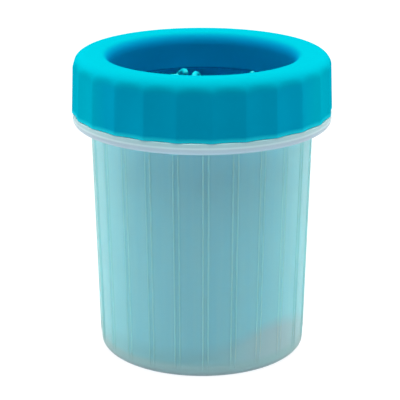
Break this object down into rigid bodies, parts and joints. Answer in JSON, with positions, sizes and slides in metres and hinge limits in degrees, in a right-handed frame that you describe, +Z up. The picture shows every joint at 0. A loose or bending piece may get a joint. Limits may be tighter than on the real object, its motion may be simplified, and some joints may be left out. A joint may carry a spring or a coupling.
{
  "type": "paw washer cup",
  "caption": "Tapered frosted cup with a soft bristle-lined insert and a fluted twist lid with a wide rolled mouth, filled with water to wash a pet's muddy paw.",
  "frame": {"origin": "centre of the base, on the plane the cup stands on", "axes": "+Z up through the mouth, -Y the front, +X to the right seen from the front"},
  "size_m": [0.1146, 0.1148, 0.135],
  "materials": {
    "frosted_plastic": "translucent, fine satin",
    "cyan_silicone": "soft matt",
    "seal_silicone": "soft matt",
    "lid_plastic": "satin, moulded"
  },
  "bodies": {
    "cup": {"cup_body": "frosted_plastic"},
    "insert": {"bristle_insert": "cyan_silicone"},
    "seal": {"lid_seal": "seal_silicone"},
    "lid": {"twist_lid": "lid_plastic"}
  },
  "joints": [
    {"name": "insert_lift", "type": "slide", "parent": "cup", "child": "insert", "axis": [0, 0, 1], "range_m": [0, 0.126]},
    {"name": "lid_lift", "type": "slide", "parent": "insert", "child": "seal", "axis": [0, 0, 1], "range_m": [0, 0.04]},
    {"name": "lid_turn", "type": "hinge", "parent": "seal", "child": "lid", "pos_m": [0, 0, 0.12], "axis": [0, 0, 1], "range_deg": [-45, 0]}
  ]
}
